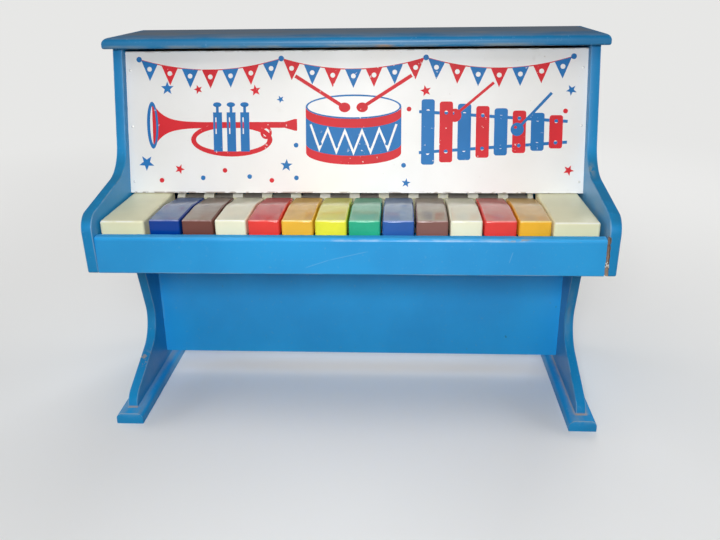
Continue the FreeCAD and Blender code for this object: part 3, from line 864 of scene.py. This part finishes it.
def end_block(side):
    """A wide block, rounded over except at the back, and hollow below."""
    node = side + "_end_block"
    lo, hi = node_box(node)
    bm = box(lo, hi)
    shown = [e for e in bm.edges if not lies_at(e, Z, lo.z) and not lies_at(e, Y, hi.y)]
    round_edges(bm, shown, BLOCK_EDGE_ROUND, 5)
    wall = Vector((CAP_WALL, CAP_WALL, CAP_WALL))
    inside = box((lo.x + CAP_WALL, lo.y + CAP_WALL, lo.z - OVERCUT), hi - wall)
    piece(node + "_moulding", carved(as_mesh(node, bm), [inside]), "cream_plastic", replaced=node)


def comb_ramps():
    """The bevelled tops of the comb's posts, which show between the tails."""
    lo, hi = node_box("key_comb")
    front, ridge, back = POST_RAMP_Y
    outline = [(front, hi.z), (ridge, hi.z + POST_RAMP_RISE), (back, hi.z + POST_RAMP_RISE), (back, hi.z)]
    tails = [x for _, x, _ in KEYS]
    starts = [lo.x] + [x + TAIL_SLOT_HALF for x in tails]
    ends = [x - TAIL_SLOT_HALF for x in tails] + [hi.x]
    bm = bmesh.new()
    for x0, x1 in zip(starts, ends):
        prism(outline, x0, x1, bm)
    piece("comb_ramps", bm, "cream_plastic")


key_caps()
end_block("left")
end_block("right")
comb_ramps()


# Foot rails


def foot_rail(side):
    """A rail rounded over along its two upper edges, with ends sawn straight."""
    lo, hi = node_box(side + "_foot")
    corners = [(lo.x, lo.z, 0), (lo.x, hi.z, FOOT_ROUND), (hi.x, hi.z, FOOT_ROUND), (hi.x, lo.z, 0)]
    bm = prism(rounded_outline(corners), lo.y, hi.y)
    for v in bm.verts:
        v.co.x, v.co.y = v.co.y, v.co.x
    bmesh.ops.recalc_face_normals(bm, faces=bm.faces)
    ends = [
        e for e in sharp_edges(bm)
        if (lies_at(e, Y, lo.y) or lies_at(e, Y, hi.y)) and not lies_at(e, Z, lo.z)
    ]
    round_edges(bm, ends, FOOT_END_ROUND, 2)
    piece(side + "_foot_rail", bm, "blue_paint", "blue_paint_foot", replaced=side + "_foot")


foot_rail("left")
foot_rail("right")


# Return springs: a strip on the keybed with a finger under each key


def key_springs():
    half = SPRING_THICK / 2
    path = [
        (SPRING_BEND_Y, KEYBED_TOP + half, 0),
        (SPRING_TOUCH_Y, SPRING_LIFT, SPRING_TOUCH_ROUND),
        (SPRING_TIP_Y, SPRING_LIFT - SPRING_TIP_DROP, 0),
    ]
    over = [(y, z + half, radius) for y, z, radius in path]
    under = [(y, z - half, radius) for y, z, radius in reversed(path)]
    outline = rounded_outline(over + under)
    reach = ((KEY_COUNT - 1) * KEY_PITCH + SPRING_WIDTH) / 2
    strip = box((-reach, SPRING_BEND_Y, KEYBED_TOP), (reach, SPRING_BACK_Y, KEYBED_TOP + SPRING_THICK))
    piece("spring_strip", strip, "steel", replaced="key_springs")
    for number, x, _ in KEYS:
        bm = prism(outline, x - SPRING_WIDTH / 2, x + SPRING_WIDTH / 2)
        finger = piece("spring_finger_" + number, bm, "steel")
        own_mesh(finger)


key_springs()


# Keyslip, whose right end has broken the corner off the arm beside it


def divided(points, longest):
    """The outline with points added on its long runs."""
    result = []
    for i, point in enumerate(points):
        following = points[(i + 1) % len(points)]
        steps = max(1, ceil((following - point).length / longest))
        result += [point.lerp(following, k / steps) for k in range(steps)]
    return result


def keyslip():
    """The board before the keys, rounded over in front, with a ragged right end."""
    y0, y1 = FRONT_Y + KEYSLIP_SET, FRONT_Y + KEYSLIP_SET + BOARD
    corners = [
        (y0, ARM_UNDER, KEYSLIP_EDGE_ROUND), (y0, KEYSLIP_TOP, KEYSLIP_ROUND),
        (y1, KEYSLIP_TOP, KEYSLIP_EDGE_ROUND), (y1, ARM_UNDER, 0),
    ]
    outline = divided(rounded_outline(corners), KEYSLIP_END_STEP)
    bm = prism(outline, -INNER_X, INNER_X - KEYSLIP_END_GAP)
    left = [e for e in bm.edges if lies_at(e, X, -INNER_X)]
    for v in bm.verts:
        if v.co.x > 0:
            wander = noise.noise(v.co * 420 + Vector((3, 1, 7))) + 0.6 * noise.noise(v.co * 1100)
            v.co.x += wander * KEYSLIP_END_RAGGED * MM
    round_edges(bm, left, KEYSLIP_END_ROUND, 2)
    right = max(bm.faces, key=lambda face: face.calc_center_median().x)
    bmesh.ops.triangulate(bm, faces=[right])
    piece("keyslip_board", bm, "blue_paint", "blue_paint_keyslip_painted_light", replaced="keyslip")


def filler_lumps():
    """Lumps of white filler in the break."""
    lumps = (
        (2.3, 8.8, 1.0), (1.1, 8.0, 0.9), (-0.5, 7.4, 0.75),
        (0.1, 9.8, 0.65), (2.2, 7.0, 0.6), (0.9, 10.6, 0.5),
    )
    bm = bmesh.new()
    for dx, dz, size in lumps:
        place = Vector((INNER_X + dx, FRONT_Y + KEYSLIP_SET + 0.3, ARM_UNDER + dz)) * MM
        lump = bmesh.ops.create_icosphere(bm, subdivisions=3, radius=size * MM)
        for v in lump["verts"]:
            v.co *= 1 + 0.5 * noise.noise(v.co * 900 + place * 3000)
            v.co.y *= 0.6
            v.co += place
    piece("filler_lumps", bm, "white_paint", "filler")


keyslip()
filler_lumps()


# Print on the front panel: a row of flags, a trumpet, a drum and a xylophone in two inks.
# Places on the panel are (along, up) from its lower left corner.


def on_panel(point, lift):
    """A place on the panel, lifted off its face, in metres."""
    along, up = point
    y = PANEL_BOTTOM_Y + up * sin(LEAN) - lift * cos(LEAN)
    z = PANEL_BOTTOM + up * cos(LEAN) + lift * sin(LEAN)
    return Vector((along - INNER_X, y, z)) * MM


def ellipse(center, across, up, start=0, end=360, steps=40):
    whole = end - start == 360
    angles = [radians(start + (end - start) * k / steps) for k in range(steps if whole else steps + 1)]
    return [(center[0] + across * cos(a), center[1] + up * sin(a)) for a in angles]


def circle(center, radius, steps):
    return ellipse(center, radius, radius, steps=steps)


def rectangle(middle, half, low, high):
    return [(middle - half, low), (middle + half, low), (middle + half, high), (middle - half, high)]


def star(center, size, turn):
    corners = [(size * 0.42 if k % 2 else size, radians(turn + 36 * k)) for k in range(10)]
    return [(center[0] + reach * cos(a), center[1] + reach * sin(a)) for reach, a in corners]


def stroke(path, width):
    """The outline of a line of this width along a path."""
    path = [Vector(p) for p in path]
    left, right = [], []
    for i, p in enumerate(path):
        before = (p - path[i - 1]).normalized() if i > 0 else (path[1] - p).normalized()
        after = (path[i + 1] - p).normalized() if i + 1 < len(path) else before
        way = (before + after).normalized()
        across = Vector((-way.y, way.x)) * (width / 2 / max(0.35, way.dot(before)))
        left.append(p + across)
        right.append(p - across)
    return left + right[::-1]


class Print:
    """Shapes in one ink, each a thin film on the panel."""

    def __init__(self):
        self.bm = bmesh.new()

    def add(self, *loops, layer=0):
        """Adds a shape: the first loop is its outline, and others are gaps in it."""
        lifts = (INK_THICK * (1 + layer), 0)
        new = self.bm.verts.new
        top, low = ([[new(on_panel(p, lift)) for p in loop] for loop in loops] for lift in lifts)
        flat_top, flat_low = ([v for ring in rings for v in ring] for rings in (top, low))
        for a, b, c in tessellate_polygon([[Vector((*p, 0)) for p in loop] for loop in loops]):
            self.bm.faces.new((flat_top[a], flat_top[b], flat_top[c]))
            self.bm.faces.new((flat_low[c], flat_low[b], flat_low[a]))
        for upper, lower in zip(top, low):
            for i in range(len(upper)):
                j = (i + 1) % len(upper)
                self.bm.faces.new((upper[i], lower[i], lower[j], upper[j]))

    def finish(self, name, slot, look):
        bmesh.ops.recalc_face_normals(self.bm, faces=self.bm.faces)
        piece(name, self.bm, slot, look, smooth=20)


def flags(red, blue):
    """Three sagging strings of flags between four hooks, each flag with a round hole."""
    hooks, height, sag = (11, 125, 239, 353), 105.5, 8.5
    count, half_share, drop, hole_up = 7, 0.058, 14.5, 9.2
    for k, (start, end) in enumerate(zip(hooks, hooks[1:])):

        def string(t):
            return (start + (end - start) * t, height - 4 * sag * t * (1 - t))

        red.add(stroke([string(t / 20) for t in range(21)], 0.8))
        for n in range(count):
            t = (n + 0.5) / count
            along, up = string(t)
            flag = [string(t - half_share), (along, up - drop), string(t + half_share)]
            (red if (n + k) % 2 else blue).add(flag, circle((along, up - drop + hole_up), 1.9, 16), layer=1)
    for hook in hooks:
        blue.add(circle((hook, height), 2.2, 20), layer=2)


def drum(red, blue):
    """A drum with a zigzag cord, a row of knots, two hoops, and two sticks on its skin."""
    middle, half, dip = 182, 38, 9.5
    top, bottom, hoop, cord_inset = 68, 32, 7, 9.5

    def front(height):
        return ellipse((middle, height), half, dip, 180, 360, 36)

    def sag(along):
        return -dip * sqrt(1 - ((along - middle) / half) ** 2)

    zigzag = []
    for k in range(11):
        along = middle - half * 0.9 + half * 1.8 * k / 10
        zigzag.append((along, sag(along) + (bottom + cord_inset if k % 2 else top - cord_inset)))
    blue.add(front(bottom) + front(top)[::-1], stroke(zigzag, 1.7))
    for height in (top - hoop, bottom):
        red.add(front(height) + front(height + hoop)[::-1], layer=1)
    blue.add(ellipse((middle, top), half, dip), ellipse((middle, top), half - 1.5, dip - 1.3))
    for side in (-1, 1):
        ball, grip = (middle + side * 7, top - 0.5), (middle + side * 46, top + 24)
        red.add(stroke([ball, grip], 2.8), layer=2)
        red.add(ellipse(ball, 4.6, 3.8, steps=24), layer=3)
        for k in range(5):
            along = middle + side * half * (0.18 + 0.17 * k)
            blue.add(ellipse((along, bottom + 14 + sag(along)), 1.0, 1.4, steps=12), layer=2)


def trumpet(red, blue):
    """A trumpet with its bell at the left, three valves and a finger ring."""
    line, bell, bore = 54, 20, 2.3
    flare = [(bell + u, line + bore + 16.5 * exp(-u / 8.5)) for u in range(0, 46, 2)]
    tube = flare + [(128, line + bore)]
    red.add(tube + [(along, 2 * line - up) for along, up in reversed(tube)])
    mouth = [(126, line + 2), (135, line + 4.6), (137, line + 4.6)]
    red.add(mouth + [(along, 2 * line - up) for along, up in reversed(mouth)], layer=1)
    blue.add(ellipse((bell, line), 4.6, 18.6), ellipse((bell + 0.4, line), 2.4, 15.2), layer=1)
    loop, ring = (84, line - 11.5), (112, line - 6)
    red.add(ellipse(loop, 33, 13.5), ellipse(loop, 29, 9.5), layer=1)
    for valve in (73, 84, 95):
        glint = rectangle(valve - 1.4, 0.5, line - 7, line + 6)
        blue.add(rectangle(valve, 3.6, line - 21, line + 10), glint, layer=2)
        blue.add(rectangle(valve, 1.1, line + 10, line + 15), layer=2)
        blue.add(ellipse((valve, line + 16), 3.4, 1.9, steps=20), layer=2)
    red.add(ellipse(ring, 4.6, 5.2), ellipse(ring, 2.6, 3.2), layer=2)


def xylophone(red, blue):
    """Eight bars, shorter to the right, on two rods, with two beaters."""
    line = 48
    for side in (-1, 1):
        blue.add(stroke([(234, line + side * 16), (350, line + side * 8)], 2.4))
    for k in range(8):
        along, half = 241 + 14.3 * k, 25.5 - 1.8 * k
        corners = [(*p, 2) for p in rectangle(along, 5.2, line - half, line + half)]
        holes = [circle((along, line + side * half * 0.64), 1.5, 16) for side in (-1, 1)]
        (red if k % 2 else blue).add(rounded_outline(corners, 20), *holes, layer=1)
    for film, ball, grip in ((red, (262, 61), (292, 86)), (blue, (311, 50), (337, 78))):
        glint = circle((ball[0] - 1.4, ball[1] + 1.6), 1.2, 12)
        film.add(stroke([ball, grip], 2.2), layer=2)
        film.add(circle(ball, 5.2, 28), glint, layer=3)


def scattered(red, blue):
    """Stars, each turned a little further than the last, and dots."""
    stars = (
        (33, 83, 5.5), (58, 82, 3.8), (14, 24, 6.5), (41, 19, 4.2), (128, 22, 5.2), (239, 80, 4.6),
        (352, 80, 4.4), (352, 18, 4.4), (224, 8, 3.8), (104, 81, 4.6), (124, 74, 3.2),
    )
    for k, (along, up, size) in enumerate(stars):
        (red if k % 2 else blue).add(star((along, up), size, 90 + 17 * k))
    dots = (
        (26, 10), (60, 12), (78, 18), (98, 13), (116, 10),
        (136, 38), (226, 66), (222, 22), (348, 64), (136, 12),
    )
    for k, place in enumerate(dots):
        (blue if k % 2 else red).add(circle(place, 1.9, 18))


red_print, blue_print = Print(), Print()
for motif in (flags, drum, trumpet, xylophone, scattered):
    motif(red_print, blue_print)
red_print.finish("panel_print_red", "key_red", "ink_red")
blue_print.finish("panel_print_blue", "blue_paint", "ink_blue")


# Nail heads, whose places are guessed: at the panel's ends, round the back and through the sides


def nail_heads(name, places, toward, radius, proud, slot, *looks):
    """Low round heads at places in metres that stand out along a direction."""
    profile = ((1.0, -0.4), (1.0, 0.4), (0.8, 0.85), (0.4, 1.0))
    turn = Vector(toward).to_track_quat("Z", "Y").to_matrix()
    bm = bmesh.new()
    for place in places:
        rings = []
        for share, height in profile:
            spots = [Vector((*p, height * proud)) * MM for p in circle((0, 0), radius * share, 16)]
            rings.append([bm.verts.new(place + turn @ spot) for spot in spots])
        close_rings(bm, rings)
    piece(name, bm, slot, *looks)


def panel_nails():
    ends = (3.4, 2 * INNER_X - 3.4)
    places = [on_panel((along, up), 0) for along in ends for up in (9, 53, 97)]
    nail_heads("panel_nails", places, (0, -cos(LEAN), sin(LEAN)), 1.0, 0.25, "steel", "nail_steel")


def back_nails():
    half, low, high = 184, ARM_UNDER + 4, SIDE_TOP - 4
    spots = [(x, z) for x in (-half, half) for z in (low, low + 47, low + 94, high)]
    spots += [(-half + 2 * half * k / 8, low) for k in range(1, 8)]
    places = [Vector((x, BACK_Y, z)) * MM for x, z in spots]
    nail_heads("back_nails", places, (0, 1, 0), 1.7, 0.35, "steel", "nail_steel")


def side_nails():
    keybed_nails = [(y, ARM_UNDER + BOARD / 2) for y in (-70, -15, 40, 80)]
    lower_panel_nails = [(36.6, z) for z in (35, 80, 125)]
    keyslip_nail = (-90.6, 159)
    for side, name in ((-1, "left"), (1, "right")):
        spots = [*keybed_nails, *lower_panel_nails, keyslip_nail]
        places = [Vector((side * SIDE_X, y, z)) * MM for y, z in spots]
        nail_heads(name + "_side_nails", places, (side, 0, 0), 1.6, 0.15, "blue_paint")


panel_nails()
back_nails()
side_nails()


# Floor, lamps and world, in metres, and the camera


def direct_rays(nodes, links):
    """1 for rays from the camera and for what reflections and clear surfaces show, and 0 for other light."""
    path = nodes.new("ShaderNodeLightPath").outputs
    direct = path["Is Camera Ray"]
    for kind in ("Is Glossy Ray", "Is Transmission Ray"):
        either = nodes.new("ShaderNodeMath")
        either.operation = "MAXIMUM"
        links.new(direct, either.inputs[0])
        links.new(path[kind], either.inputs[1])
        direct = either.outputs[0]
    return direct


def stage_floor(seen, bounced, horizon, fade):
    """A pale floor that bounces little light onto the object, and fades to the horizon's colour."""
    bm = bmesh.new()
    bmesh.ops.create_grid(bm, x_segments=1, y_segments=1, size=30)
    floor = new_object("floor", as_mesh("floor", bm))
    look = Look("floor", roughness=0.9)
    direct = direct_rays(look.nodes, look.links)
    look.set("Base Color", look.mix(direct, bounced, seen))
    distance = look.add("VectorMath", {0: look.place}, operation="LENGTH").outputs["Value"]
    glow = look.add("Emission", {"Color": (*horizon, 1)}).outputs[0]
    share = look.times(look.band(distance, *fade), direct)
    shaders = {0: share, 1: look.surface.outputs[0], 2: glow}
    blend = look.add("MixShader", shaders).outputs[0]
    look.put(look.nodes["Material Output"].inputs["Surface"], blend)
    floor.data.materials.append(look.material)


def area_light(name, place, target, size, level, spread=180):
    """A soft square lamp; level is the share of a plain white that it gives at the target."""
    data = bpy.data.lights.new(name, "AREA")
    data.shape = "SQUARE"
    data.size = size
    data.spread = radians(spread)
    half = radians(spread) / 2
    gain = tan(half) / (tan(half) - half)
    offset = Vector(target) - Vector(place)
    data.energy = level * pi ** 2 * offset.length_squared / gain
    lamp = new_object(name, data)
    lamp.location = place
    lamp.rotation_euler = offset.to_track_quat("-Z", "Y").to_euler()


def world_light(ambient, seen):
    """An even world: its strength as light, and as the background that is seen."""
    world = bpy.data.worlds.new("studio")
    bpy.context.scene.world = world
    world.use_nodes = True
    nodes, links = world.node_tree.nodes, world.node_tree.links
    strength = nodes.new("ShaderNodeMapRange")
    links.new(direct_rays(nodes, links), strength.inputs["Value"])
    strength.inputs["To Min"].default_value = ambient
    strength.inputs["To Max"].default_value = seen
    background = nodes["Background"].inputs
    background["Color"].default_value = (1.0, 1.0, 0.99, 1)
    links.new(strength.outputs["Result"], background["Strength"])


def camera(place, focal, pitch, yaw, roll):
    """A camera at a place in millimetres; focal is in pixels of a picture 720 wide, angles in radians."""
    data = bpy.data.cameras.new("camera")
    data.sensor_fit = "HORIZONTAL"
    data.sensor_width = 36
    data.lens = focal / 720 * data.sensor_width
    data.clip_start = 0.01
    data.clip_end = 100
    turn = Euler((pi / 2 - pitch, 0, yaw)).to_matrix().to_4x4() @ Matrix.Rotation(-roll, 4, "Z")
    obj = new_object("camera", data)
    obj.matrix_world = Matrix.Translation(Vector(place) * MM) @ turn
    bpy.context.scene.camera = obj


stage_floor(seen=(0.86, 0.86, 0.85), bounced=(0.06, 0.05, 0.043),
            horizon=(0.8, 0.8, 0.79), fade=(0.35, 1.3))
area_light("front_softbox", (-0.005, -0.76, 0.448), (0, -0.06, 0.19), 0.16, 0.84, spread=120)
area_light("top_softbox", (-0.15, -0.65, 1.35), (0, 0, 0.2), 1.0, 0.36)
area_light("back_softbox", (0.3, 1.5, 0.85), (0, 0, 0.15), 1.0, 0.5)
area_light("left_softbox", (-1.3, 0.35, 0.42), (-0.19, 0, 0.16), 0.9, 0.5)
area_light("right_softbox", (1.3, 0.35, 0.42), (0.19, 0, 0.16), 0.9, 0.5)
world_light(ambient=0.04, seen=0.82)
camera((37.62, -599.64, 346.81), focal=758.66, pitch=0.3719, yaw=0.0563, roll=0.0135)
bpy.context.scene.view_settings.view_transform = "Standard"
